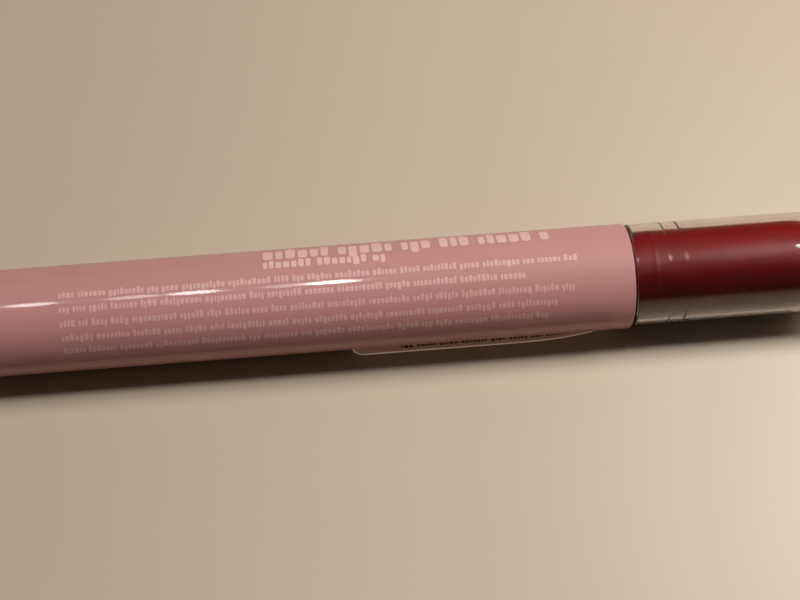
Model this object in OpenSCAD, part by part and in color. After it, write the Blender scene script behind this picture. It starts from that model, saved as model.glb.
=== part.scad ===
// Click-pen lip gloss tube, lying on its side along X with its cap towards +X.
// Pressing the button at the tail turns a drive sleeve, which screws a piston forward.
// Along the tube, u is the distance from the barrel's front rim, positive towards the cap.

/* [Barrel] */
// Outside diameter of the barrel
barrel_d = 13.6; // [13.5:0.1:14.5]
// Length of the barrel with its tail ring
barrel_l = 83.2; // [83:0.1:86]
// Wall of the barrel
barrel_wall = 1.0; // [0.8:0.05:1]
// Radius of the rounded front rim
rim_round = 0.3; // [0.1:0.05:0.35]

/* [Cap] */
// Outside diameter of the clear cap
cap_d = 13.3; // [13.2:0.1:13.4]
// Length of the cap
cap_l = 45; // [44.8:0.1:50]
// Wall of the cap
cap_wall = 0.75; // [0.7:0.01:0.76]
// Thickness of the cap's flat end
cap_end = 1.6; // [1:0.1:1.8]
// Gap between the barrel's rim and the cap's rim
cap_gap = 0.3; // [0.1:0.05:0.4]
// Distances from the barrel's rim to the grip ribs inside the cap
rib_u = [4.9, 6.9];
// How far a grip rib stands in from the cap's wall
rib_h = 0.13; // [0.05:0.01:0.14]

/* [Neck] */
// Diameter of the coloured neck under the cap
neck_d = 11.2; // [11:0.1:11.2]
// Distance from the rim to the snap bead on the neck
bead_u = 3; // [2:0.1:3.5]
// Height of the snap bead
bead_h = 0.12; // [0.05:0.01:0.12]
// Distance from the rim to the small step on the neck
step_u = 8.5; // [8:0.1:10]

/* [Feed] */
// Advance of the screw in one turn
lead = 8; // [7.9:0.1:8.1]
// Travel of the piston
stroke = 27.8; // [20:0.1:28]
// Travel of the click button
click = 2; // [1:0.1:2]
// How far the button stands out of the tail
button_out = 5; // [4:0.1:5.5]
// Number of ratchet teeth in each ring
teeth = 12; // [8:1:14]

/* [Hidden] */
$fn = 96;

pink = [0.80, 0.55, 0.53];
berry = [0.42, 0.10, 0.12];
gloss_red = [0.62, 0.16, 0.20];
clear = [0.93, 0.92, 0.90, 0.35];
milky = [0.93, 0.92, 0.88];
acetal = [0.88, 0.88, 0.86];
seal_grey = [0.35, 0.35, 0.36];
steel = [0.72, 0.73, 0.75];

// Radii
barrel_r = barrel_d / 2;
bore_r = barrel_r - barrel_wall;
neck_r = neck_d / 2;
cap_r = cap_d / 2;
cap_bore_r = cap_r - cap_wall;
fit = 0.02;
slide_gap = 0.05;
tank_r = bore_r - 0.1;
tank_bore_r = tank_r - 0.6;
button_r = 4.85;
core_r = 3.9;
core_bore_r = 2.6;
journal_r = 2.9;
screw_r = 2;
screw_root_r = 1.55;
screw_flat = 1.45;
thread_gap = 0.2;
flange_r = 5.6;
funnel_r = 4.3;
duct_r = 1.3;
shank_r = 1.6;
groove_r = 4;

// Places along the tube
cap_u = cap_gap;
cap_end_u = cap_u + cap_l;
neck_end_u = 30;
tip_end_u = 38.5;
plug_u = -9;
collar_u = -2.5;
piston_u = -38;
piston_l = 5.5;
nut_u = -46.5;
ring_u = -50.5;
ring_back_u = -52.5;
tooth_h = 0.6;
tooth_gap = 0.1;
sleeve_u = ring_back_u - tooth_h * 2 - tooth_gap;
sleeve_back_u = -63;
core_u = sleeve_back_u - 2 * tooth_h - tooth_gap - click;
button_flange_u = -78;
seat_u = core_u - 0.4;
core_tail_u = -84;
neck_seal_u = -6;
funnel_u = 16;
tube_u = 15;
socket_u = 23;
shank_u = 27.5;
head_u = 33;
tail_u = -barrel_l;
button_end_u = tail_u - button_out;
screw_tail_u = -83.5;
screw_head_u = piston_u - 2.6;

// The middle of the whole tube is at x = 0, and it rests on z = 0
mid_x = -(cap_end_u + button_end_u) / 2;
axis_z = barrel_r;

// Film label: its ends along the tube, and its edges as angles below the front
label_u = [-36, -2];
label_a = [34, 80];
label_t = 0.06;

// Points on an arc round (cx, cy)
function arc(cx, cy, r, from, to, n = 5) =
    [for (i = [0:n]) let (a = from + (to - from) * i / n) [cx + r * cos(a), cy + r * sin(a)]];

// A smooth bump of height h on a wall of radius r, from u = at - wide / 2 to at + wide / 2
function bump(r, h, at, wide, n = 10) =
    [for (i = [0:n]) let (t = i / n) [r + h * pow(sin(180 * t), 2), at + wide * (t - 0.5)]];

// Lays its children, which stand along Z, along the tube
module along() translate([mid_x, 0, axis_z]) rotate([0, 90, 0]) children();

// A turned piece from an outline of [radius, u] points
module turned(outline) along() rotate_extrude() polygon(outline);

// A drilled ring from u = a to b
module ring(r, bore, a, b) turned([[bore, a], [r, a], [r, b], [bore, b]]);

// A ring of saw teeth that stand on the plane u = at, up for way = 1 and down for way = -1
module saw_teeth(r_in, r_out, at, way) {
    wide = 0.8 * 2 * PI * r_in / teeth;
    lift = way * tooth_h;
    along()
        for (i = [0:teeth - 1])
            rotate(i * 360 / teeth)
                translate([r_in, -wide / 2, at])
                    rotate([90, 0, 90])
                        linear_extrude(r_out - r_in)
                            polygon([[0, -way * 0.1], [wide, -way * 0.1], [wide, lift], [0, 0]]);
}

// The screw's section: two rounded lobes, grown all round by grow
module thread_section(sides, grow = 0) {
    rise = screw_r - screw_root_r;
    polygon([for (i = [0:sides - 1])
        let (a = i * 360 / sides, r = screw_root_r + rise * (1 + cos(2 * a)) / 2 + grow)
        [r * cos(a), r * sin(a)]]);
}

// The screw's thread between two places, always in step with the same helix
module thread(from, to, grow = 0) {
    turn_per_mm = 360 / lead;
    steps_per_turn = 14;
    sides = 14;
    along()
        translate([0, 0, from])
            rotate(turn_per_mm * (from - nut_u))
                linear_extrude(
                    to - from,
                    twist = -turn_per_mm * (to - from),
                    slices = ceil((to - from) / lead * steps_per_turn),
                    segments = sides
                )
                    thread_section(sides, grow);
}

// A bar between the two flats of the screw, grown by grow
module flats(from, to, grow = 0)
    along()
        translate([-screw_flat - grow, -screw_r - 1, from])
            cube([2 * (screw_flat + grow), 2 * screw_r + 2, to - from]);

module barrel_shell() color(pink) {
    back = tail_u + 1;
    turned(concat(
        [[bore_r, back], [barrel_r, back]],
        arc(barrel_r - rim_round, -rim_round, rim_round, 0, 90),
        [[bore_r, 0]]
    ));
}

module tail_ring() color(pink) {
    edge = 0.4;
    turned(concat(
        [[button_r + slide_gap, button_flange_u], [button_r + slide_gap, tail_u]],
        arc(barrel_r - edge, tail_u + edge, edge, -90, 0),
        [[barrel_r, tail_u + 1], [bore_r - fit, tail_u + 1], [bore_r - fit, button_flange_u]]
    ));
}

module film_label() color(clear) {
    inner_r = barrel_r + 0.005;
    translate([mid_x, 0, axis_z])
        rotate([0, 90, 0])
            rotate(-90 + label_a[0])
                rotate_extrude(angle = label_a[1] - label_a[0])
                    polygon([
                        [inner_r, label_u[0]], [inner_r + label_t, label_u[0]],
                        [inner_r + label_t, label_u[1]], [inner_r, label_u[1]]
                    ]);
}

module front_neck() color(berry) {
    bead_w = 1.3;
    front_r = neck_r - 0.05;
    groove_w = 1.2;
    dome_u = 21;
    nozzle_r = 3.2;
    socket_r = 2.2;
    plug_r = tank_bore_r - fit;
    dome = [for (a = [0:10:90])
        [nozzle_r + (front_r - nozzle_r) * cos(a), dome_u + 5 * sin(a)]];
    turned(concat(
        [[funnel_r, plug_u], [plug_r, plug_u], [plug_r, neck_seal_u - groove_w / 2]],
        [[groove_r, neck_seal_u - groove_w / 2], [groove_r, neck_seal_u + groove_w / 2]],
        [[plug_r, neck_seal_u + groove_w / 2], [plug_r, collar_u]],
        [[bore_r - fit, collar_u], [bore_r - fit, -0.6], [neck_r, -0.6]],
        bump(neck_r, bead_h, bead_u, bead_w),
        [[neck_r, step_u], [front_r, step_u]],
        dome,
        [[nozzle_r - 0.3, neck_end_u - 0.2], [nozzle_r - 0.5, neck_end_u], [socket_r, neck_end_u]],
        [[socket_r, socket_u], [duct_r, socket_u], [duct_r, funnel_u]]
    ));
}

module neck_seal_ring() color(seal_grey)
    along()
        translate([0, 0, neck_seal_u])
            rotate_extrude() translate([tank_bore_r - 0.46, 0]) circle(0.44, $fn = 32);

module tip_holder() color(milky) {
    stem_r = 2.18;
    flange_w = 0.8;
    turned([
        [duct_r, socket_u], [stem_r, socket_u], [stem_r, neck_end_u], [2.7, neck_end_u],
        [2.7, neck_end_u + flange_w - 0.2], [2.5, neck_end_u + flange_w],
        [2.2, neck_end_u + flange_w], [2.1, head_u], [shank_r + fit, head_u],
        [shank_r + fit, shank_u], [duct_r, shank_u]
    ]);
}

module applicator_tip() color(gloss_red) {
    head_r = 2.5;
    hole_r = 0.45;
    nose = arc(0, tip_end_u - head_r, head_r, 0, 90, 9);
    difference() {
        turned(concat(
            [[0, shank_u + 0.1], [shank_r, shank_u + 0.1], [shank_r, head_u], [2.1, head_u]],
            [[head_r, head_u + 0.6]],
            nose
        ));
        along()
            rotate([90, 0, 0])
                linear_extrude(3 * head_r, center = true)
                    polygon([[-head_r - 0.1, head_u + 1], [1.3, tip_end_u + 0.1],
                        [-head_r - 0.1, tip_end_u + 0.1]]);
        along() translate([0, 0, shank_u]) cylinder(tip_end_u - shank_u + 1, hole_r, hole_r);
    }
}

module feed_tube() color(milky) ring(duct_r - fit, 0.8, tube_u, shank_u - 0.1);

module reservoir_tube() color(clear) ring(tank_r, tank_bore_r, nut_u, collar_u);

module gloss_fill() color(gloss_red)
    turned([
        [0, piston_u + fit], [tank_bore_r - fit, piston_u + fit], [tank_bore_r - fit, plug_u - fit],
        [funnel_r - 0.05, plug_u - fit], [duct_r - 0.05, tube_u - 0.1], [0, tube_u - 0.1]
    ]);

module screw_nut() color(acetal) {
    front = nut_u + 2.3;
    difference() {
        turned([
            [0, ring_u], [bore_r - fit, ring_u], [bore_r - fit, nut_u],
            [tank_bore_r - fit, nut_u], [tank_bore_r - fit, front], [0, front]
        ]);
        thread(ring_u - 0.5, front + 0.5, thread_gap);
    }
}

module ratchet_ring() color(acetal)
    union() {
        ring(bore_r - fit, journal_r + slide_gap, ring_back_u, ring_u);
        saw_teeth(3.3, 4.3, ring_back_u, -1);
    }

module drive_sleeve() color(milky) {
    web = 2.2;
    union() {
        difference() {
            turned([
                [0, sleeve_back_u], [core_r, sleeve_back_u], [core_r, sleeve_u - web],
                [core_r + 0.5, sleeve_u - web], [core_r + 0.5, sleeve_u], [journal_r, sleeve_u],
                [journal_r, ring_u - 0.5], [0, ring_u - 0.5]
            ]);
            along() translate([0, 0, sleeve_back_u - 1])
                cylinder(sleeve_u - web - sleeve_back_u + 1, core_bore_r, core_bore_r);
            intersection() {
                along() translate([0, 0, sleeve_u - web - 1]) cylinder(8, screw_r + 0.1, screw_r + 0.1);
                flats(sleeve_u - web - 1, ring_u, 0.06);
            }
        }
        saw_teeth(3.3, 4.3, sleeve_u, 1);
        saw_teeth(2.8, 3.8, sleeve_back_u, -1);
    }
}

module feed_screw() color(acetal) {
    thread_end_u = piston_u - piston_l - 0.3;
    head_r = 2.1;
    stem_r = 1.4;
    union() {
        intersection() {
            thread(screw_tail_u, thread_end_u);
            flats(screw_tail_u - 1, thread_end_u + 1);
        }
        ring(stem_r, 0, thread_end_u - 0.5, screw_head_u - 1);
        turned([
            [0, screw_head_u - 1.4], [head_r, screw_head_u - 1.4], [head_r, screw_head_u - 0.5],
            [head_r - 0.5, screw_head_u], [0, screw_head_u]
        ]);
    }
}

module piston() color(milky) {
    lip_r = tank_bore_r - slide_gap;
    back_u = piston_u - piston_l;
    socket_r = 2.2;
    mouth_r = 1.6;
    turned([
        [0, piston_u - 0.8], [3, piston_u - 0.8], [4, piston_u], [lip_r, piston_u],
        [lip_r, piston_u - 1.6], [groove_r, piston_u - 1.6], [groove_r, piston_u - 2.8],
        [lip_r, piston_u - 2.8], [lip_r, back_u], [mouth_r, back_u],
        [mouth_r, screw_head_u - 1.6], [socket_r, screw_head_u - 1.6],
        [socket_r, screw_head_u + 0.1], [0, screw_head_u + 0.1]
    ]);
}

module piston_seal_ring() color(seal_grey)
    along()
        translate([0, 0, piston_u - 2.2])
            rotate_extrude() translate([tank_bore_r - slide_gap - 0.52, 0]) circle(0.52, $fn = 32);

module return_spring() color(steel) {
    wire_r = 0.25;
    coil_r = 5.1;
    sides = 6;
    turns = 8;
    per_turn = 14;
    low = seat_u + wire_r + fit;
    high = ring_back_u - wire_r - fit;
    count = turns * per_turn;
    points = [for (i = [0:count], j = [0:sides - 1])
        let (
            around = 360 * i / per_turn,
            side = 360 * j / sides,
            r = coil_r + wire_r * cos(side)
        )
        [r * cos(around), r * sin(around), low + (high - low) * i / count + wire_r * sin(side)]];
    skin = [for (i = [0:count - 1], j = [0:sides - 1])
        let (k = (j + 1) % sides, a = i * sides, b = a + sides)
        [a + j, a + k, b + k, b + j]];
    first = [for (j = [0:sides - 1]) j];
    last = [for (j = [sides - 1:-1:0]) count * sides + j];
    along() polyhedron(points, concat(skin, [last, first]));
}

module cam_core() color(acetal)
    union() {
        turned([
            [core_bore_r, core_tail_u], [core_r, core_tail_u], [core_r, seat_u - 1],
            [flange_r, seat_u - 1], [flange_r, seat_u], [core_r + 0.3, seat_u], [core_r, core_u],
            [core_bore_r, core_u]
        ]);
        saw_teeth(2.8, 3.8, core_u, 1);
    }

module click_button() color(pink) {
    edge = 0.9;
    inside = core_r + fit;
    turned(concat(
        [[0, button_end_u]],
        arc(button_r - edge, button_end_u + edge, edge, -90, 0),
        [[button_r, button_flange_u + fit], [flange_r, button_flange_u + fit]],
        [[flange_r, button_flange_u + 1.2], [inside, button_flange_u + 1.2]],
        [[inside, button_end_u + 1.4], [0, button_end_u + 1.4]]
    ));
}

module cap_shell() color(clear) {
    edge = 0.6;
    rim = 0.2;
    rib_w = 0.6;
    inner_end_u = cap_end_u - cap_end;
    ribs = [for (u = rib_u) each bump(cap_bore_r, -rib_h, u, rib_w)];
    turned(concat(
        [[0, inner_end_u], [0, cap_end_u]],
        arc(cap_r - edge, cap_end_u - edge, edge, 90, 0),
        arc(cap_r - rim, cap_u + rim, rim, 0, -90, 3),
        [[cap_bore_r + 0.1, cap_u], [cap_bore_r, cap_u + 0.4]],
        ribs,
        arc(cap_bore_r - 0.5, inner_end_u - 0.5, 0.5, 0, 90, 4)
    ));
}

barrel_shell();
tail_ring();
film_label();
front_neck();
neck_seal_ring();
tip_holder();
applicator_tip();
feed_tube();
reservoir_tube();
gloss_fill();
screw_nut();
ratchet_ring();
return_spring();
cap_shell();
click_button();
cam_core();
drive_sleeve();
feed_screw();
piston();
piston_seal_ring();
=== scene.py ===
# %% [markdown]
# # A click-pen lip gloss tube
# The engineering model already holds every part at its real size and place. This lesson loads it as a fixed
# frame, then gives each part the surface that a maker of cosmetics packaging would give it. Parts that show
# are turned again as smooth surfaces, and parts hidden inside keep their engineering shape.

# %% Load the frame
import math

import bpy
import numpy as np
from mathutils import Matrix, Vector


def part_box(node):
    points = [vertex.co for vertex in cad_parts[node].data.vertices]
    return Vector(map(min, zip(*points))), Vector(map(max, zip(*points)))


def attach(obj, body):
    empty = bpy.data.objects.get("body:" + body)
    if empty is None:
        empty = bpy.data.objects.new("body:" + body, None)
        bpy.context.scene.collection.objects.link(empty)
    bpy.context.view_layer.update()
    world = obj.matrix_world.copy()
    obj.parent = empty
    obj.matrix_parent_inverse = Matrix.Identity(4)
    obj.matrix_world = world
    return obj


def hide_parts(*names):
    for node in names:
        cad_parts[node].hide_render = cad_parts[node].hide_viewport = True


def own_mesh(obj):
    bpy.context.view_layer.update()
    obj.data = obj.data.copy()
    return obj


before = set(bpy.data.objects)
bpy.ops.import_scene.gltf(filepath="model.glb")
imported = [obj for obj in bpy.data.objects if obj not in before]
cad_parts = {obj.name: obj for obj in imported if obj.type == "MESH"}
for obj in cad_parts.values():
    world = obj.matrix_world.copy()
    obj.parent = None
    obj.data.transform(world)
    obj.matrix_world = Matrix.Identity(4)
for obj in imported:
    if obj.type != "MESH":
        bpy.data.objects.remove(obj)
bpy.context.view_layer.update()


MM = 0.001

# %% [markdown]
# The tube lies along X. Lengths along it are measured from the barrel's front rim, which is where the clear
# cap begins, because that is how the drawing gives them. `u` is such a length in millimetres, positive
# towards the cap's closed end.

# %% Sizes that the frame gives
rim_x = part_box("barrel_shell")[1].x
tail_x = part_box("tail_ring")[0].x
barrel_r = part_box("barrel_shell")[1].y
axis_z = barrel_r
cap_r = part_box("cap_shell")[1].y
cap_u0 = (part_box("cap_shell")[0].x - rim_x) / MM
cap_u1 = (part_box("cap_shell")[1].x - rim_x) / MM
barrel_l = (rim_x - tail_x) / MM
R = barrel_r / MM
CR = cap_r / MM
NECK = R - 1.2
print(f"barrel {2 * R:.1f} mm across and {barrel_l:.1f} mm long, cap {cap_u1 - cap_u0:.1f} mm long")

# %% [markdown]
# The camera looks down at the tube from about sixty degrees, a hand's length above the table, as a person
# holds the small print to read it. It is turned a few degrees, so that the cap's end is a little further off.

# %% Camera
aim = Vector((rim_x - 32.8 * MM, -0.74 * MM, axis_z))
distance = 194.7 * MM
azimuth = math.radians(4.54)
elevation = math.radians(61.9)
roll = math.radians(-0.33)
look = Vector((
    math.sin(azimuth) * math.cos(elevation),
    math.cos(azimuth) * math.cos(elevation),
    -math.sin(elevation),
))
camera_data = bpy.data.cameras.new("camera")
camera_data.lens = 68.0
camera_data.sensor_width = 36.0
camera_data.shift_x = 0.033
camera_data.clip_start = 0.01
camera = bpy.data.objects.new("camera", camera_data)
bpy.context.scene.collection.objects.link(camera)
turn = look.to_track_quat("-Z", "Y").to_matrix() @ Matrix.Rotation(roll, 3, "Z")
camera.matrix_world = Matrix.Translation(aim - look * distance) @ turn.to_4x4()
bpy.context.scene.camera = camera
print("camera at", [round(v, 4) for v in camera.location])

# %% [markdown]
# A turned part is one outline spun round the tube's axis. The grid has a row for each point of the outline
# and a column for each step round, so all its points are one array product. A point on the axis becomes a
# single pole, and an outline that comes back to its start closes into a ring. Smooth shading averages the
# directions of neighbouring faces, so a long straight run would be tinted by the round at its end. A holding
# row close to each end keeps it true, which matters most in clear plastic, where shading bends the light.

# %% Turning


def put_mesh(name, points, faces):
    """A mesh object from points in metres and faces, with its faces outwards.

    The signed volume is the sum over triangles of a . (b x c) / 6, and a negative one means inside out.
    """
    faces = [tuple(int(i) for i in f) for f in faces]
    tri = np.array([(f[0], f[i], f[i + 1]) for f in faces for i in range(1, len(f) - 1)])
    a, b, c = (points[tri[:, i]] for i in range(3))
    if np.einsum("ij,ij->i", a, np.cross(b, c)).sum() < 0:
        faces = [f[::-1] for f in faces]
    mesh = bpy.data.meshes.new(name)
    mesh.from_pydata(points.tolist(), [], faces)
    mesh.polygons.foreach_set("use_smooth", [True] * len(mesh.polygons))
    mesh.update()
    thing = bpy.data.objects.new(name, mesh)
    bpy.context.scene.collection.objects.link(thing)
    return thing


def with_holding_rows(outline, loop, near=0.04):
    """Adds a point near to both ends of every run of the outline longer than 8 x near, and drops repeats."""
    ends = outline[1:] + outline[:1] if loop else outline[1:]
    held = []
    for start, end in zip(np.array(outline, float), np.array(ends, float)):
        run = np.hypot(*(end - start))
        if run < 1e-6:
            continue
        step = (end - start) * near / run
        held += [start, start + step, end - step] if run > 8 * near else [start]
    return np.array(held if loop else held + [outline[-1]], float)


def turned(name, outline, sides=192, loop=True, crease=35):
    """Spins an outline of (radius, u) points in millimetres round the tube's axis.

    A point goes to x = rim + u, y = -r cos(t), z = axis + r sin(t) for t from 0 to 2 pi.
    """
    outline = with_holding_rows(list(outline), loop)
    t = np.arange(sides) * 2 * np.pi / sides
    on_axis = outline[:, 0] < 1e-6
    rows, points, at = [], [], 0
    for (r, u), pole in zip(outline, on_axis):
        angle = t[:1] if pole else t
        x = np.full(len(angle), rim_x + u * MM)
        points.append(np.stack([x, -r * MM * np.cos(angle), axis_z + r * MM * np.sin(angle)], 1))
        rows.append(np.full(sides, at) if pole else at + np.arange(sides))
        at += len(angle)
    faces = []
    pairs = list(zip(rows, rows[1:])) + ([(rows[-1], rows[0])] if loop else [])
    for low, high in pairs:
        quad = np.stack([low, np.roll(low, -1), np.roll(high, -1), high], 1)
        if low[0] == low[1] and high[0] == high[1]:
            continue
        if low[0] == low[1]:
            quad = quad[:, [0, 2, 3]]
        elif high[0] == high[1]:
            quad = quad[:, [0, 1, 2]]
        faces += quad.tolist()
    thing = put_mesh(name, np.concatenate(points), faces)
    thing.data.set_sharp_from_angle(angle=math.radians(crease))
    print(f"{name}: {len(faces)} faces")
    return thing


def arc(r, u, radius, start, end, steps=8):
    """Points on a quarter round of an outline: (r, u) + radius (cos a, sin a), a in degrees."""
    a = np.radians(np.linspace(start, end, steps + 1))
    return np.stack([r + radius * np.cos(a), u + radius * np.sin(a)], 1).tolist()


def swell(r, height, at, width, steps=24):
    """A bead or groove of an outline: r + height sin^2(pi t) over the width, t from 0 to 1."""
    t = np.linspace(0, 1, steps + 1)
    return np.stack([r + height * np.sin(np.pi * t) ** 2, at + width * (t - 0.5)], 1).tolist()


def dress(thing, material, body, node):
    """Gives a piece its material and its body, and hides the engineering part that it stands for."""
    thing.data.materials.clear()
    thing.data.materials.append(material)
    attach(thing, body)
    if node:
        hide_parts(node)


# %% [markdown]
# No moulded surface is perfectly even. The same faint effects show on lacquer, clear plastic and raw plastic
# alike: slow waves from the mould, a fine grain, and small rubbed patches. One node group works them out
# from the point on the part, and each material takes them at its own strength.

# %% A node group for moulded surfaces


def new_group(name, inputs, outputs):
    """An empty shader group with number inputs given as {name: default} and number outputs."""
    group = bpy.data.node_groups.new(name, "ShaderNodeTree")
    for label, value in inputs.items():
        group.interface.new_socket(label, in_out="INPUT", socket_type="NodeSocketFloat").default_value = value
    for label in outputs:
        group.interface.new_socket(label, in_out="OUTPUT", socket_type="NodeSocketFloat")
    return group


def math_node(tree, operation, a, b=0.0, clamp=False):
    """A Math node whose two inputs are sockets or numbers. Returns its output."""
    node = tree.nodes.new("ShaderNodeMath")
    node.operation = operation
    node.use_clamp = clamp
    for socket, value in zip(node.inputs, (a, b)):
        if isinstance(value, bpy.types.NodeSocket):
            tree.links.new(value, socket)
        else:
            socket.default_value = value
    return node.outputs[0]


def noise(tree, vector, scale, detail=2.0, roughness=0.5, stretch=None):
    """A noise texture on a vector socket, stretched along the axes where asked. Returns 0 to 1."""
    if stretch:
        mapping = tree.nodes.new("ShaderNodeMapping")
        mapping.inputs["Scale"].default_value = stretch
        tree.links.new(vector, mapping.inputs["Vector"])
        vector = mapping.outputs["Vector"]
    node = tree.nodes.new("ShaderNodeTexNoise")
    node.inputs["Scale"].default_value = scale
    node.inputs["Detail"].default_value = detail
    node.inputs["Roughness"].default_value = roughness
    tree.links.new(vector, node.inputs["Vector"])
    return node.outputs["Fac"]


def moulded_surface():
    """Waves, grain and rubbed patches of a moulded part, from its Object coordinates."""
    group = new_group(
        "moulded surface",
        {"Base Roughness": 0.2, "Rub": 0.1, "Wave": 1.0, "Grain": 0.3},
        ["Shade", "Roughness", "Height"],
    )
    take = group.nodes.new("NodeGroupInput")
    give = group.nodes.new("NodeGroupOutput")
    where = group.nodes.new("ShaderNodeTexCoord").outputs["Object"]
    wave = noise(group, where, 160, 1.5, stretch=(0.35, 1, 1))
    grain = noise(group, where, 5200, 3.0, 0.6)
    patches = noise(group, where, 420, 4.0, 0.62, stretch=(0.5, 1, 1))
    rubbed = math_node(group, "MULTIPLY", math_node(group, "SUBTRACT", patches, 0.5), take.outputs["Rub"])
    rough = math_node(group, "ADD", take.outputs["Base Roughness"], rubbed, clamp=True)
    height = math_node(
        group, "ADD",
        math_node(group, "MULTIPLY", wave, take.outputs["Wave"]),
        math_node(group, "MULTIPLY", grain, take.outputs["Grain"]),
    )
    group.links.new(noise(group, where, 95, 3.0, 0.55), give.inputs["Shade"])
    group.links.new(rough, give.inputs["Roughness"])
    group.links.new(height, give.inputs["Height"])
    return group


SURFACE = moulded_surface()
print("shader group:", SURFACE.name)

# %% [markdown]
# Every material starts from the same four wires: the surface group's shade mixes two close colours, its
# roughness goes to the shader, and its height goes through a Bump node. What makes lacquer, clear plastic
# or rubber is the plain values set on the shader itself.

# %% The base of every material


def srgb(r, g, b):
    """A colour seen on a screen, 0 to 255, as the linear values that shaders use."""
    c = np.array([r, g, b]) / 255
    linear = np.where(c <= 0.04045, c / 12.92, ((c + 0.055) / 1.055) ** 2.4)
    return (*[float(v) for v in linear], 1.0)


def plastic(name, light, dark, rough=0.25, rub=0.1, wave=1.0, grain=0.3, bump=0.02, depth=0.02, **sockets):
    """A material with moulded-surface variation between two colours, and plain shader values."""
    material = bpy.data.materials.new(name)
    material.use_nodes = True
    tree = material.node_tree
    shader = tree.nodes["Principled BSDF"]
    surface = tree.nodes.new("ShaderNodeGroup")
    surface.node_tree = SURFACE
    for label, value in zip(("Base Roughness", "Rub", "Wave", "Grain"), (rough, rub, wave, grain)):
        surface.inputs[label].default_value = value
    blend = tree.nodes.new("ShaderNodeMix")
    blend.data_type = "RGBA"
    blend.inputs["A"].default_value = dark
    blend.inputs["B"].default_value = light
    tree.links.new(surface.outputs["Shade"], blend.inputs["Factor"])
    tree.links.new(blend.outputs["Result"], shader.inputs["Base Color"])
    tree.links.new(surface.outputs["Roughness"], shader.inputs["Roughness"])
    raised = tree.nodes.new("ShaderNodeBump")
    raised.inputs["Strength"].default_value = bump
    raised.inputs["Distance"].default_value = depth * MM
    tree.links.new(surface.outputs["Height"], raised.inputs["Height"])
    tree.links.new(raised.outputs["Normal"], shader.inputs["Normal"])
    for label, value in sockets.items():
        shader.inputs[label.replace("_", " ")].default_value = value
    return material, tree, shader


def let_lamps_through(material, tree, shader):
    """Shadow rays see clear plastic as transparent face on and dark at its edges, which send light aside."""
    out = tree.nodes["Material Output"]
    ray = tree.nodes.new("ShaderNodeLightPath")
    through = tree.nodes.new("ShaderNodeBsdfTransparent")
    slant = tree.nodes.new("ShaderNodeLayerWeight")
    shade = tree.nodes.new("ShaderNodeMapRange")
    shade.interpolation_type = "SMOOTHSTEP"
    for label, value in (("From Min", 0.1), ("From Max", 0.45), ("To Min", 0.85), ("To Max", 0.08)):
        shade.inputs[label].default_value = value
    tree.links.new(slant.outputs["Facing"], shade.inputs["Value"])
    tree.links.new(shade.outputs["Result"], through.inputs["Color"])
    either = tree.nodes.new("ShaderNodeMixShader")
    tree.links.new(ray.outputs["Is Shadow Ray"], either.inputs["Fac"])
    tree.links.new(shader.outputs["BSDF"], either.inputs[1])
    tree.links.new(through.outputs["BSDF"], either.inputs[2])
    tree.links.new(either.outputs["Shader"], out.inputs["Surface"])
    return material


# %% [markdown]
# The barrel is moulded plastic under a dusty pink lacquer. Lacquer is a colour with a hard clear coat over
# it, so the shader gets a soft base and a smooth coat. The neck is moulded in the shade of the gloss, and
# light goes some way into it, which subsurface scattering gives. The cap is clear polished plastic, which
# bends light like glass does at an index of 1.49. The label's film is half see-through, and it carries a
# painted glow: a weak emission over its face, stronger and paler at its cut edge, which a mask on its mesh
# marks.

# %% Materials of the outside
pink = plastic(
    "dusty pink lacquer", srgb(184, 132, 126), srgb(178, 126, 120), rough=0.42, rub=0.12,
    wave=1.0, grain=0.05, bump=0.12, depth=0.05,
    Coat_Weight=0.45, Coat_Roughness=0.05, Coat_IOR=1.5, Specular_IOR_Level=0.1,
)[0]
berry = plastic(
    "berry moulded plastic", srgb(88, 5, 6), srgb(80, 4, 5), rough=0.34, rub=0.08,
    grain=0.15, bump=0.15, depth=0.03, Specular_IOR_Level=0.12,
    Subsurface_Weight=0.9, Subsurface_Radius=(1.0, 0.3, 0.25), Subsurface_Scale=0.014,
)[0]
clear = let_lamps_through(*plastic(
    "clear polished plastic", (0.945, 0.875, 0.835, 1), (0.935, 0.86, 0.82, 1), rough=0.02, rub=0.02,
    wave=0.6, grain=0.0, bump=0.05, depth=0.02, Transmission_Weight=1.0, IOR=1.49,
))
film, film_tree, film_shader = plastic(
    "clear label film", srgb(205, 180, 155), srgb(192, 166, 142), rough=0.14, rub=0.1,
    wave=1.0, grain=0.1, bump=0.2, depth=0.03, IOR=1.45,
)
# Painted glow: the film emits a weak warm light over its whole face, brighter and paler towards its cut edge,
# where the mask is high.
edge = film_tree.nodes.new("ShaderNodeAttribute")
edge.attribute_name = "cut_edge"
painted_glow = film_tree.nodes.new("ShaderNodeMix")
painted_glow.data_type = "RGBA"
painted_glow.inputs["A"].default_value = srgb(150, 116, 92)
painted_glow.inputs["B"].default_value = srgb(255, 226, 196)
film_tree.links.new(edge.outputs["Fac"], painted_glow.inputs["Factor"])
film_tree.links.new(painted_glow.outputs["Result"], film_shader.inputs["Emission Color"])
film_shader.inputs["Emission Strength"].default_value = 0.2
film_tree.links.new(
    math_node(film_tree, "ADD", math_node(film_tree, "MULTIPLY", edge.outputs["Fac"], 0.4), 0.5, clamp=True),
    film_shader.inputs["Alpha"],
)
ink = plastic(
    "pale printing ink", srgb(216, 176, 168), srgb(204, 162, 154), rough=0.45, rub=0.3,
    grain=0.5, bump=0.3, depth=0.01, Specular_IOR_Level=0.4,
)[0]
faint_ink = plastic(
    "faint printing ink", srgb(206, 160, 152), srgb(196, 148, 140), rough=0.45, rub=0.3,
    grain=0.5, bump=0.3, depth=0.01, Specular_IOR_Level=0.4,
)[0]
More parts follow.
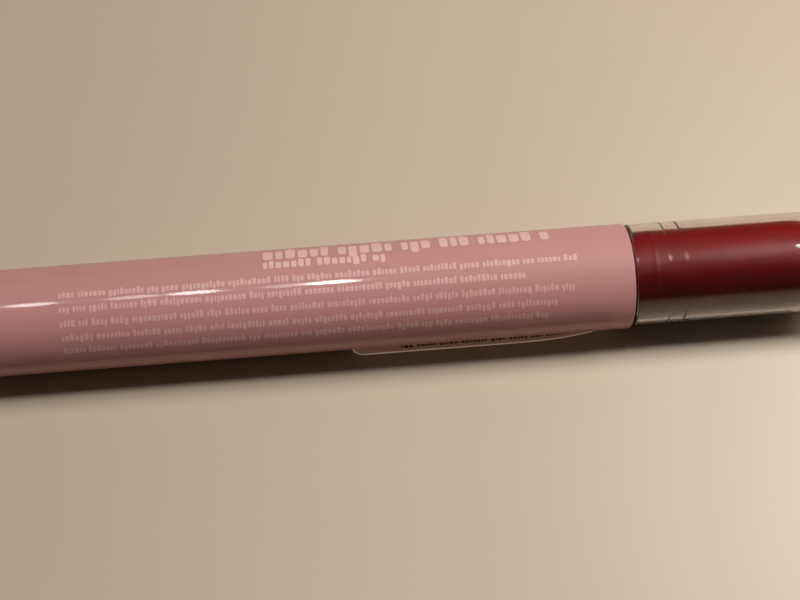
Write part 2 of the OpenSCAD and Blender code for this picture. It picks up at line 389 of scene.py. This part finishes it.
dark_ink = plastic(
    "dark label ink", srgb(70, 26, 24), srgb(50, 20, 20), rough=0.45, rub=0.2, bump=0.2,
)[0]
print("outside materials:", [m.name for m in (pink, berry, clear, film, ink, faint_ink, dark_ink)])

# %% [markdown]
# Inside the pen the parts are raw plastic, because nobody sees them: slippery white acetal for the screw, the
# nut and the ratchet, milky plastic for the piston and tubes, rubber for the seals and drawn wire for the
# spring. They get the same surface group with duller values.

# %% Materials of the inside
acetal = plastic(
    "white acetal", srgb(226, 225, 220), srgb(212, 211, 206), rough=0.38, rub=0.2, grain=0.6, bump=0.2,
)[0]
milky = plastic(
    "milky moulded plastic", srgb(232, 230, 222), srgb(220, 217, 208), rough=0.35, rub=0.15,
    grain=0.4, bump=0.15, Subsurface_Weight=0.3, Subsurface_Scale=0.002,
)[0]
rubber = plastic(
    "seal rubber", srgb(52, 52, 54), srgb(40, 40, 42), rough=0.62, rub=0.25, grain=1.0, bump=0.3,
)[0]
wire = plastic(
    "drawn spring wire", srgb(190, 190, 194), srgb(168, 168, 172), rough=0.28, rub=0.3,
    grain=0.8, bump=0.2, Metallic=1.0, Anisotropic=0.5,
)[0]
liquid = plastic(
    "berry gloss", srgb(150, 34, 44), srgb(128, 22, 32), rough=0.08, rub=0.05, wave=1.5, grain=0.0,
    bump=0.3, depth=0.06, Coat_Weight=0.6, Coat_Roughness=0.03, Specular_IOR_Level=0.6,
)[0]
print("inside materials made")

# %% [markdown]
# Ten of the inside parts are right as the engineering model has them, so they keep its meshes and only their
# material slots are filled.

# %% Dress the parts that keep their engineering shape
kept = {
    "neck_seal_ring": rubber, "piston_seal_ring": rubber, "feed_tube": milky, "reservoir_tube": milky,
    "screw_nut": acetal, "ratchet_ring": acetal,
    "cam_core": acetal, "drive_sleeve": acetal, "feed_screw": acetal, "piston": milky,
}
for node, material in kept.items():
    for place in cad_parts[node].material_slots:
        place.material = material
print("parts dressed as they are:", len(kept))

# %% [markdown]
# The barrel is one tube with a rounded front rim. The rim is where the lacquer wraps over the edge and
# catches a thin line of light, so its round is turned in real steps and not faked. All lengths in the
# outlines are millimetres, and FIT is the play between two parts that are pressed together.

# %% Barrel
FIT = 0.02
WALL = 1.0
BORE = R - WALL
RIM, BORE_ROUND = 0.16, 0.12
TAIL = -barrel_l
FLANGE = 1
barrel = turned("barrel", [
    [BORE, TAIL + FLANGE], [R, TAIL + FLANGE],
    *arc(R - RIM, -RIM, RIM, 0, 90),
    *arc(BORE + BORE_ROUND, -BORE_ROUND, BORE_ROUND, 90, 180, 4),
], sides=256)
dress(barrel, pink, "pen", "barrel_shell")

# %% [markdown]
# The tail is closed by a collar with a flange, and the button slides in it. The button's face is very
# slightly dished for the thumb, and a step inside the collar keeps it from falling out.

# %% Tail ring and button
BUTTON_R, BUTTON_GAP, BUTTON_ROUND = 4.85, 0.05, 0.9
BUTTON_BORE, BUTTON_FACE = 3.92, 1.4
COLLAR, COLLAR_BORE = 5.2, BUTTON_R + BUTTON_GAP
STEP_END = 6.4
TAIL_ROUND, MOUTH_ROUND, SEAM_ROUND = 0.45, 0.15, 0.08
step_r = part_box("click_button")[1].y / MM
button_u = (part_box("click_button")[0].x - rim_x) / MM
tail_ring = turned("tail_collar", [
    [BORE - FIT, TAIL + FLANGE], [BORE - FIT, TAIL + COLLAR], [COLLAR_BORE, TAIL + COLLAR],
    *arc(COLLAR_BORE + MOUTH_ROUND, TAIL + MOUTH_ROUND, MOUTH_ROUND, 180, 270, 4),
    *arc(R - TAIL_ROUND, TAIL + TAIL_ROUND, TAIL_ROUND, 270, 360),
    *arc(R - SEAM_ROUND, TAIL + FLANGE - SEAM_ROUND, SEAM_ROUND, 0, 90, 3),
])
dress(tail_ring, pink, "pen", "tail_ring")

dish = [[0, button_u + 0.12], [1.5, button_u + 0.1], [2.6, button_u + 0.04], [3.45, button_u]]
button = turned("push_button", [
    *dish,
    *arc(BUTTON_R - BUTTON_ROUND, button_u + BUTTON_ROUND, BUTTON_ROUND, 270, 360),
    [BUTTON_R, TAIL + COLLAR + FIT], [step_r, TAIL + COLLAR + FIT], [step_r, TAIL + STEP_END],
    [BUTTON_BORE, TAIL + STEP_END], [BUTTON_BORE, button_u + BUTTON_FACE], [0, button_u + BUTTON_FACE],
], loop=False)
dress(button, pink, "button", "click_button")

# %% [markdown]
# Under the cap the neck is moulded in the shade of the gloss. A low bead near the rim clicks into the cap,
# and the neck ends in a soft shoulder and a nozzle. Its inside is a funnel, so that the last of the gloss
# comes out.

# %% Neck and tip holder
PLUG, PLUG_END, PLUG_R = -9, -2.5, 5.08
STOP_END, STOP_R = -0.6, 5.78
BEAD_U, BEAD_HEIGHT, BEAD_WIDE = 3.0, 0.08, 1.0
FUNNEL, FUNNEL_END, DUCT = 4.3, 16, 1.3
DOME_U, DOME_LONG = 21, 5
NOZZLE, NOZZLE_END, NOZZLE_ROUND = 3.2, 30, 0.25
SOCKET, SOCKET_U = 2.2, 23
dome = np.radians(np.linspace(0, 90, 25))
neck = turned("neck", [
    [FUNNEL, PLUG], [PLUG_R, PLUG], [PLUG_R, PLUG_END], [STOP_R, PLUG_END], [STOP_R, STOP_END],
    [NECK, STOP_END],
    *swell(NECK, BEAD_HEIGHT, BEAD_U, BEAD_WIDE),
    *np.stack([NOZZLE + (NECK - NOZZLE) * np.cos(dome), DOME_U + DOME_LONG * np.sin(dome)], 1).tolist(),
    *arc(NOZZLE - 0.3 - NOZZLE_ROUND, NOZZLE_END - NOZZLE_ROUND, NOZZLE_ROUND, 0, 90, 5),
    [SOCKET, NOZZLE_END], [SOCKET, SOCKET_U], [DUCT, SOCKET_U], [DUCT, FUNNEL_END],
], sides=256, crease=40)
dress(neck, berry, "pen", "front_neck")

HOLDER_RIM, HOLDER_END, HOLDER_BORE = 2.7, 33, 1.62
SHANK_U = 27.5
holder = turned("tip_socket", [
    [DUCT, SOCKET_U], [SOCKET - FIT, SOCKET_U], [SOCKET - FIT, NOZZLE_END], [HOLDER_RIM - 0.15, NOZZLE_END],
    *arc(HOLDER_RIM - 0.2, NOZZLE_END + 0.4, 0.2, 0, 90, 5),
    [2.2, NOZZLE_END + 0.8], [2.1, HOLDER_END], [HOLDER_BORE, HOLDER_END],
    [HOLDER_BORE, SHANK_U], [DUCT, SHANK_U],
], sides=96)
dress(holder, milky, "pen", "tip_holder")

# %% [markdown]
# The applicator is a bullet of soft foam cut on a slant and flocked with short fibres. The surface is the
# bullet first; then every point above the slanted plane is eased down onto it with a smooth minimum, so the
# edge of the cut stays soft, and a small pit marks where the gloss comes out.

# %% Applicator tip


def slanted_bullet(name, r, shank, u0, u1, u2, rows=150, nose_rows=48, sides=160, back=0.5, k=0.16):
    """A bullet of radius r from u0 to u2 on a shank from u1, cut by a plane and softened.

    With s along the outline and t round it, the point is (u(s), -r(s) cos t, r(s) sin t). The height
    h is then -k log(exp(-h / k) + exp(-p / k)), where p is the plane's height at that u. The pit is
    a bump function turned down: depth x exp(-((y / wide)^2 + (du / long)^2)^2).
    """
    nose = np.radians(np.linspace(0, 90, nose_rows + 1))
    outline = np.array([[0, u1], [shank, u1], [shank, u0]]
                       + arc(r - back, u0 + back, back, -90, 0, 6)
                       + np.stack([np.full(rows, r), np.linspace(u0 + 0.55, u2 - r, rows)], 1).tolist()
                       + np.stack([r * np.cos(nose), u2 - r + r * np.sin(nose)], 1).tolist())
    outline[-1, 0] = 0
    thing = turned(name, outline, sides=sides, loop=False, crease=60)
    points = np.zeros(len(thing.data.vertices) * 3)
    thing.data.vertices.foreach_get("co", points)
    points = points.reshape(-1, 3)
    u = (points[:, 0] - rim_x) / MM
    h = (points[:, 2] - axis_z) / MM
    y = points[:, 1] / MM
    plane = r + 0.1 - (u - u0 - 1) * (r + 1.4) / (u2 - u0 - 0.9)
    low = np.minimum(h, plane)
    eased = low - k * np.log(np.exp(-(h - low) / k) + np.exp(-(plane - low) / k))
    head = u > u0 + 0.3
    pit_deep, pit_wide, pit_long, pit_u = 0.5, 0.42, 0.5, u0 + 3.9
    pit = pit_deep * np.exp(-((y / pit_wide) ** 2 + ((u - pit_u) / pit_long) ** 2) ** 2)
    on_cut = (plane < h + 0.4) & head
    new = np.where(head, np.minimum(h, eased), h) - np.where(on_cut, pit, 0)
    points[:, 2] = axis_z + new * MM
    thing.data.vertices.foreach_set("co", points.ravel())
    thing.data.update()
    return thing


flock = plastic(
    "wet flock", srgb(176, 58, 66), srgb(150, 38, 48), rough=0.7, rub=0.2, wave=0.2, grain=2.5,
    bump=0.6, depth=0.12, Sheen_Weight=0.6, Sheen_Roughness=0.4,
)[0]
tip = slanted_bullet("slanted_tip", r=2.5, shank=1.6, u0=33.0, u1=27.6, u2=38.5)
dress(tip, flock, "pen", "applicator_tip")

# %% [markdown]
# Two parts inside change their length in use. The gloss in the tank is pushed out as the piston comes
# forward, and the gloss in the funnel beyond it stays. Here the tank's piece only gets a mesh of its own.


def squash_by(thing):
    """Gives a piece its own copy of its mesh, and nothing more."""
    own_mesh(thing)


FILM_GAP = 0.05
gloss_low, gloss_high = ((corner.x - rim_x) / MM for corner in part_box("gloss_fill"))
gloss_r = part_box("gloss_fill")[1].y / MM
tank_gloss = turned("tank_gloss", [
    [0, gloss_low], [gloss_r, gloss_low], [gloss_r, PLUG - FIT], [0, PLUG - FIT],
], sides=96, loop=False)
funnel_gloss = turned("funnel_gloss", [
    [0, PLUG], [FUNNEL - FILM_GAP, PLUG], [DUCT - FILM_GAP, gloss_high], [0, gloss_high],
], sides=96, loop=False)
for part in (tank_gloss, funnel_gloss):
    dress(part, liquid, "pen", "gloss_fill")
squash_by(tank_gloss)

# %% [markdown]
# The other is the return spring. It has closed coils at both ends, as a real one does, and in use it shortens
# by the button's travel; here it only gets a mesh of its own. It is a round wire carried along a helix, and
# the helix's pitch changes smoothly towards the ends.

# %% Return spring


def coil_spring(name, low, high, coil_r, wire_r, turns=8, steps=48, sides=12):
    """A round wire carried along a helix of s turns, in millimetres.

    The pitch grows from one wire at the ends to the full pitch as a smooth step over the first turn,
    and x is its running sum, scaled so that the wire just fills the length from low to high.
    """
    s = np.linspace(0, turns, turns * steps + 1)
    rise = np.clip((np.minimum(s, turns - s) - 0.7) / 0.6, 0, 1)
    rise = rise ** 2 * (3 - 2 * rise)
    closed = 2 * wire_r * 1.02
    step = turns / (len(s) - 1)
    wide = (high - low - 2 * wire_r - closed * turns) / (rise[1:].sum() * step)
    x = np.concatenate([[0], np.cumsum(closed + wide * rise[1:]) * step]) + low + wire_r
    turn = (2 * np.pi * s)[:, None]
    side = (2 * np.pi * np.arange(sides) / sides)[None, :]
    r = coil_r + wire_r * np.cos(side)
    points = np.stack([
        rim_x + (x[:, None] + wire_r * np.sin(side)) * MM,
        r * np.cos(turn) * MM, axis_z + r * np.sin(turn) * MM,
    ], -1).reshape(-1, 3)
    i, j = np.meshgrid(np.arange(len(s) - 1) * sides, np.arange(sides), indexing="ij")
    k = (j + 1) % sides
    skin = np.stack([i + j, i + k, i + k + sides, i + j + sides], -1).reshape(-1, 4).tolist()
    last = (len(s) - 1) * sides
    ends = [list(range(sides))[::-1], list(range(last, last + sides))]
    return put_mesh(name, points, skin + ends)


spring_low, spring_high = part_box("return_spring")
WIRE_R = 0.25
spring = coil_spring(
    "click_spring", (spring_low.x - rim_x) / MM, (spring_high.x - rim_x) / MM,
    spring_high.y / MM - WIRE_R, WIRE_R,
)
dress(spring, wire, "pen", "return_spring")
squash_by(spring)

# %% [markdown]
# The cap is one clear shell. Two fine ribs inside it grip the neck, and they are what shows as thin bright
# rings. Clear plastic looks right only if both its skins are there, with the true wall between them, so the
# outline runs along the outside, round the rim and back along the inside.

# %% Cap
CAP_BORE = CR - 0.75
CAP_END = 1.6
END_ROUND, MOUTH, FLOOR_ROUND = 0.6, 0.2, 0.5
RIB_WIDE = 0.6
ribs = [swell(CAP_BORE, -height, u, RIB_WIDE, 16) for u, height in ((4.9, 0.04), (6.9, 0.06))]
cap = turned("clear_cap", [
    [0, cap_u1], [CR - 2 * END_ROUND, cap_u1],
    *arc(CR - END_ROUND, cap_u1 - END_ROUND, END_ROUND, 90, 0, 10),
    *arc(CR - MOUTH, cap_u0 + MOUTH, MOUTH, 0, -90, 6),
    [CAP_BORE + 0.12, cap_u0], [CAP_BORE, cap_u0 + 0.4],
    *ribs[0], *ribs[1],
    *arc(CAP_BORE - FLOOR_ROUND, cap_u1 - CAP_END - FLOOR_ROUND, FLOOR_ROUND, 0, 90, 8),
    [0, cap_u1 - CAP_END],
], sides=256, loop=False, crease=50)
dress(cap, clear, "cap", "cap_shell")

# %% [markdown]
# The printing is a thin layer of pale ink. Nothing is spelled out: rows of small plain dashes stand where
# the small print goes, and wider bars where a title would. Each dash is a curved patch that lies on the
# barrel, given the ink's real thickness by a Solidify modifier.

# %% Printing


def patches(name, at, bars, material, rows=4, thickness=0.015):
    """Rounded patches on a surface, from rows of (u0, u1, t, height), all in millimetres.

    at(u, t) gives the point for a place u along the tube and t across it. In a patch with a and b from
    -1 to 1, u is drawn in by the corner's size x (1 - sqrt(1 - c^2)), c being how far b is into it.
    """
    bars = np.asarray(bars, float)
    a = np.linspace(-1, 1, 3)[None, :, None]
    b = np.sin(np.linspace(-np.pi / 2, np.pi / 2, rows + 1))[None, None, :]
    half = ((bars[:, 1] - bars[:, 0]) / 2)[:, None, None]
    tall = (bars[:, 3] / 2)[:, None, None]
    corner = np.minimum(0.3 * tall, 0.7 * half)
    c = np.clip((np.abs(b) * tall - tall + corner) / corner, 0, 1)
    u = bars[:, :2].mean(1)[:, None, None] + a * (half - corner * (1 - np.sqrt(1 - c ** 2)))
    points = at(u, bars[:, 2][:, None, None] + b * tall + 0 * a)
    i, j = np.meshgrid(np.arange(2), np.arange(rows), indexing="ij")
    first = (i * (rows + 1) + j).ravel()
    quad = np.stack([first, first + rows + 1, first + rows + 2, first + 1], 1)
    faces = (quad[None] + (np.arange(len(bars)) * 3 * (rows + 1))[:, None, None]).reshape(-1, 4)
    mesh = bpy.data.meshes.new(name)
    mesh.from_pydata(points.reshape(-1, 3).tolist(), [], faces.tolist())
    mesh.update()
    thing = bpy.data.objects.new(name, mesh)
    bpy.context.scene.collection.objects.link(thing)
    layer = thing.modifiers.new("ink layer", "SOLIDIFY")
    layer.thickness = thickness * MM
    layer.offset = 1
    mesh.materials.append(material)
    print(f"{name}: {len(bars)} marks")
    return thing


def on_barrel(u, t):
    """The barrel's skin at t round it from the front, a hair outside it.

    x = rim + u, y = -r cos(t / r), z = axis + r sin(t / r).
    """
    angle = t / R
    r = (R + 0.001) * MM
    return np.stack([rim_x + (u + 0 * t) * MM, -r * np.cos(angle), axis_z + r * np.sin(angle)], -1)


def line_of_marks(rng, start, end, t, height, mark, gap, space, word):
    """Plain marks from start to end along the tube, in groups of random length with wider gaps between.

    Nearly a third of them reach higher than the rest by 0.3 of the height, and an eighth reach lower.
    """
    out, u = [], start
    while u < end:
        for _ in range(rng.integers(*word)):
            w, kind = rng.uniform(*mark), rng.random()
            if u + w > end:
                return out
            low, high = (0, 1.3) if kind < 0.3 else (-0.3, 1) if kind > 0.88 else (0, 1)
            out.append((u, u + w, t + height * (low + high - 1) / 2, height * (high - low)))
            u += w + gap
        u += space
    return out


rng = np.random.default_rng(7)


def arc_place(degrees):
    """The place round the barrel, in millimetres from its front, for an angle above the front."""
    return math.radians(degrees) * R


title = line_of_marks(rng, -46.5, -8.6, arc_place(123), 2.1, (0.8, 1.3), 0.34, 0.9, (3, 7))
title += line_of_marks(rng, -46.5, -31.0, arc_place(105), 1.05, (0.5, 0.8), 0.22, 0.6, (5, 9))
title_marks = patches("title_marks", on_barrel, title, ink, rows=8)
small = []
for angle, end in zip((86, 70.5, 55, 39.5, 24), (-6.8, -13.5, -7.6, -9.2, -11.0)):
    small += line_of_marks(rng, -72.0, end, arc_place(angle), 0.72, (0.26, 0.5), 0.13, 0.34, (3, 12))
small_marks = patches("small_marks", on_barrel, small, faint_ink)
for marks in (title_marks, small_marks):
    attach(marks, "pen")

# %% [markdown]
# A clear label sits on the underside. It hugs the barrel along its lower edge, and its upper edge has let go
# and stands off, so that its cut edge shows below the barrel, where the film's painted glow is brightest. A
# film bends one way only, so it follows the barrel's arc and then leaves it along the tangent, nearly flat.

# %% The shape of the film label
LABEL_U0, LABEL_U1 = -36, -2
LABEL_LOW, LABEL_WIDE, LABEL_FREE = 78, 4.7, 3.4
FILM = 0.06


def film_point(v, s, lift=0.0):
    """The film at v along it (0 to 1) and s across it in millimetres, as (y, z) from the tube's axis.

    The film follows the arc at angle low - s / r below the front until it lets go, and then leaves
    along the tangent, bent down a little. Its free share is 1 - v^10, so it ends stuck down again.
    """
    r = R + 0.04 + lift
    hug = LABEL_WIDE - LABEL_FREE * (1 - v ** 10)
    on, off = np.minimum(s, hug), np.clip(s - hug, 0, None)
    a = np.radians(LABEL_LOW) - on / r
    fall = np.radians(3.5) * np.clip(off, 0, 1.5)
    y = -r * np.cos(a) - off * np.sin(a + fall)
    z = -r * np.sin(a) + off * np.cos(a + fall)
    return y, z


# %% [markdown]
# The film itself is a grid laid over that shape, and Solidify gives it its thickness. An attribute marks how
# close each point is to a cut edge, so that the material can paint a brighter glow at the edge than on the
# face.

# %% The film label


def lifting_film(name, u0, u1, material, n_u=140, n_s=60, corner=1.6, edge=0.16):
    """The film as a grid of v and s. Its free corners are quarter rounds, drawn in along the tube.

    The attribute cut_edge is exp(-(d / edge)^2), d being the distance to the nearest cut edge.
    """
    v = np.linspace(0, 1, n_u)[:, None]
    s = np.linspace(0, LABEL_WIDE, n_s)[None, :]
    cut = corner * (1 - np.sqrt(1 - (np.clip(s - LABEL_WIDE + corner, 0, None) / corner) ** 2))
    u = (u0 + cut) + ((u1 - cut) - (u0 + cut)) * v
    y, z = film_point(v, s)
    points = np.stack([rim_x + u * MM, y * MM, axis_z + z * MM], -1).reshape(-1, 3)
    i, j = np.meshgrid(np.arange(n_u - 1), np.arange(n_s - 1), indexing="ij")
    first = (i * n_s + j).ravel()
    faces = np.stack([first, first + n_s, first + n_s + 1, first + 1], 1)
    mesh = bpy.data.meshes.new(name)
    mesh.from_pydata(points.tolist(), [], faces.tolist())
    mesh.polygons.foreach_set("use_smooth", [True] * len(mesh.polygons))
    to_edge = np.minimum(LABEL_WIDE - s + 0 * v, np.minimum(u - u0 - cut, u1 - cut - u))
    mask = mesh.attributes.new("cut_edge", "FLOAT", "POINT")
    mask.data.foreach_set("value", np.exp(-(to_edge / edge) ** 2).ravel().astype(np.float32))
    mesh.update()
    thing = bpy.data.objects.new(name, mesh)
    bpy.context.scene.collection.objects.link(thing)
    skin = thing.modifiers.new("film thickness", "SOLIDIFY")
    skin.thickness = FILM * MM
    skin.offset = 0
    mesh.materials.append(material)
    print(f"{name}: {len(faces)} faces")
    return thing


label = lifting_film("clear_film_label", LABEL_U0, LABEL_U1, film)
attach(label, "pen")
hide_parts("film_label")

# %% [markdown]
# The film carries a line of small dark marks of its own, on the side that faces the barrel.

# %% Marks on the film


def on_film(u, t):
    """The film's inner side: at t across it, a hair inside the film itself."""
    y, z = film_point((u - LABEL_U0) / (LABEL_U1 - LABEL_U0), t + 0 * u, lift=-0.045)
    return np.stack([rim_x + (u + 0 * t) * MM, y * MM, axis_z + z * MM], -1)


film_line = line_of_marks(rng, -29.5, -7.0, LABEL_WIDE - 0.95, 0.4, (0.2, 0.5), 0.16, 0.4, (3, 8))
film_marks = patches("film_marks", on_film, film_line, dark_ink)
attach(film_marks, "pen")

# %% [markdown]
# The tube lies on a plain pale surface. A low black card in front of the barrel, which only reflections see,
# darkens the barrel's lower edge, which gives a glossy tube its shape.

# %% Floor and card
SPAN = 3.0
CARD_X0, CARD_X1 = -0.2, 0.02
CARD_FOOT, CARD_TOP = (-0.0125, 0.0005), (-0.02, 0.03)


def flat_stage(name, corners, material):
    """One flat face of the stage, from its four corners in metres."""
    mesh = bpy.data.meshes.new(name)
    mesh.from_pydata(corners, [], [(0, 1, 2, 3)])
    mesh.materials.append(material)
    thing = bpy.data.objects.new(name, mesh)
    bpy.context.scene.collection.objects.link(thing)
    return thing


flat_stage("floor", [(-SPAN, -SPAN, 0), (SPAN, -SPAN, 0), (SPAN, SPAN, 0), (-SPAN, SPAN, 0)], plastic(
    "pale floor", (0.47, 0.37, 0.275, 1), (0.46, 0.36, 0.265, 1), rough=0.45, rub=0, wave=0, grain=0, bump=0,
)[0])
card = flat_stage("black_card", [
    (CARD_X0, *CARD_FOOT), (CARD_X1, *CARD_FOOT), (CARD_X1, *CARD_TOP), (CARD_X0, *CARD_TOP),
], plastic("black card", (0.006,) * 3 + (1,), (0.004,) * 3 + (1,), rough=0.9)[0])
card.visible_camera = False
card.visible_shadow = False
card.visible_diffuse = False
print("stage: a floor and a black card")

# %% [markdown]
# A soft box above and to the right is the main light. It stands beyond the cap's end, because a cylinder
# mirrors a lamp only where the lamp is nearly abreast of it, so the soft box lights the lacquer without
# drawing a white stripe on it. Five small lamps in a row high above draw the short bright streaks, and a
# large weak one fills the shadows.

# %% Lights
WARM, WARMER = (1, 0.98, 0.95), (1, 0.97, 0.93)
LAMP_Y, LAMP_Z = 0.136, 1.3
LAMPS = ((-0.003, 1.8), (-0.046, 0.2), (-0.137, 0.8), (-0.198, 0.3), (-0.297, 0.6))


def lamp(name, shape, size, power, place, target, colour):
    """An area light at a place, turned to face a target."""
    data = bpy.data.lights.new(name, "AREA")
    data.shape = shape
    data.size = size[0]
    if shape in ("RECTANGLE", "ELLIPSE"):
        data.size_y = size[1]
    data.energy = power
    data.color = colour
    thing = bpy.data.objects.new(name, data)
    thing.location = place
    thing.rotation_euler = (Vector(target) - Vector(place)).to_track_quat("-Z", "Y").to_euler()
    bpy.context.scene.collection.objects.link(thing)
    return thing


middle = Vector((0, 0, axis_z))
lamp("soft box", "DISK", (0.125,), 1.43, (0.20, 0.06, 0.30), middle, WARM)
lamp("ceiling card", "RECTANGLE", (1.6, 1.6), 0.4, (0, 0.4, 0.8), (0, 0.4, 0), WARMER)
for x, power in LAMPS:
    lamp("ceiling lamp", "ELLIPSE", (0.05, 0.17), power, (x, LAMP_Y, LAMP_Z), (x, LAMP_Y, 0), WARM)
world = bpy.data.worlds.new("room")
world.use_nodes = True
world.node_tree.nodes["Background"].inputs["Color"].default_value = (*WARMER, 1)
world.node_tree.nodes["Background"].inputs["Strength"].default_value = 0.03
bpy.context.scene.world = world
bpy.context.scene.view_settings.view_transform = "Standard"
